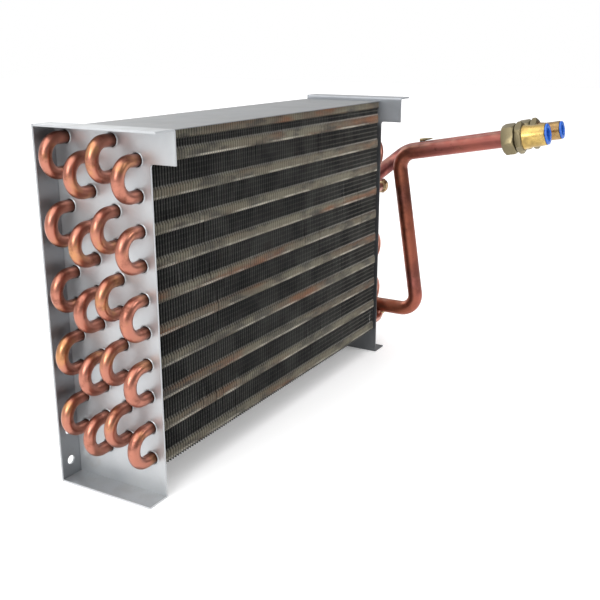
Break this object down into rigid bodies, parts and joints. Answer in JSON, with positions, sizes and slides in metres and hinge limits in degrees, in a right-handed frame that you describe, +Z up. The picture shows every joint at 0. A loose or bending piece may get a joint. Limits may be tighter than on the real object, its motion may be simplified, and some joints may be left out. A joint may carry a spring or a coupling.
{
  "type": "finned tube heat exchanger coil",
  "caption": "Finned copper-tube coil heat exchanger between two flanged sheet end plates, with return bends, headers and two capped union connections, for chilling or heating a liquid.",
  "frame": {"origin": "middle of the underside of the foot under the bend-end plate", "axes": "+X along the tubes, from the bend end to the header end; +Y to the back, through the fins; +Z up"},
  "size_m": [0.5043, 0.2618, 0.283],
  "materials": {
    "galvanised_sheet": "zinc-coated sheet, matt, slightly mottled",
    "fin_aluminium": "thin rippled aluminium, dusty",
    "copper_tube": "drawn copper, heat-tinted, satin",
    "copper_pipe": "drawn copper pipe, browned by brazing",
    "turned_brass": "turned brass, dull",
    "seal_rubber": "flat black washer",
    "plug_plastic": "moulded blue polyethylene"
  },
  "bodies": {
    "core": {"bend_end_plate": "galvanised_sheet", "header_end_plate": "galvanised_sheet", "top_cover": "galvanised_sheet", "fin_pack": "fin_aluminium", "hairpins_front_row": "copper_tube", "hairpins_second_row": "copper_tube", "hairpins_third_row": "copper_tube", "hairpins_back_row": "copper_tube", "return_bends_front_row": "copper_tube", "return_bends_second_row": "copper_tube", "return_bends_third_row": "copper_tube", "return_bends_back_row": "copper_tube", "top_crossover_front_pair": "copper_tube", "top_crossover_rear_pair": "copper_tube", "riser_tube_front_pair": "copper_tube", "riser_tube_rear_pair": "copper_tube", "inlet_feeders": "copper_tube", "outlet_feeders": "copper_tube", "inlet_header": "copper_pipe", "inlet_pipe": "copper_pipe", "outlet_pipe": "copper_pipe", "inlet_header_cap": "copper_pipe", "outlet_header_cap": "copper_pipe", "vent_stub": "copper_pipe", "inlet_header_plug": "turned_brass", "outlet_olive": "turned_brass", "inlet_olive": "turned_brass"},
    "outlet_nut": {"outlet_union_nut": "turned_brass"},
    "outlet_union": {"outlet_union_body": "turned_brass", "outlet_seal": "seal_rubber"},
    "outlet_plug": {"outlet_dust_plug": "plug_plastic"},
    "inlet_nut": {"inlet_union_nut": "turned_brass"},
    "inlet_union": {"inlet_union_body": "turned_brass", "inlet_seal": "seal_rubber"},
    "inlet_plug": {"inlet_dust_plug": "plug_plastic"}
  },
  "joints": [
    {"name": "outlet_nut_turn", "type": "hinge", "parent": "core", "child": "outlet_nut", "pos_m": [0.427, -0.17389, 0.24328], "axis": [0, 0.9836, -0.1805], "range_deg": [0, 1445]},
    {"name": "outlet_union_draw", "type": "slide", "parent": "core", "child": "outlet_union", "axis": [0, -0.9836, 0.1805], "range_m": [0, 0.006]},
    {"name": "outlet_plug_pull", "type": "slide", "parent": "outlet_union", "child": "outlet_plug", "axis": [0, -0.9836, 0.1805], "range_m": [0, 0.02]},
    {"name": "inlet_nut_turn", "type": "hinge", "parent": "core", "child": "inlet_nut", "pos_m": [0.4724, -0.17684, 0.24382], "axis": [0, 0.9836, -0.1805], "range_deg": [0, 1445]},
    {"name": "inlet_union_draw", "type": "slide", "parent": "core", "child": "inlet_union", "axis": [0, -0.9836, 0.1805], "range_m": [0, 0.006]},
    {"name": "inlet_plug_pull", "type": "slide", "parent": "inlet_union", "child": "inlet_plug", "axis": [0, -0.9836, 0.1805], "range_m": [0, 0.02]}
  ],
  "couplings": [
    {"joint": "outlet_nut_turn", "follows": "outlet_union_draw", "rad_per_m": 4188.8},
    {"joint": "inlet_nut_turn", "follows": "inlet_union_draw", "rad_per_m": 4188.8}
  ]
}
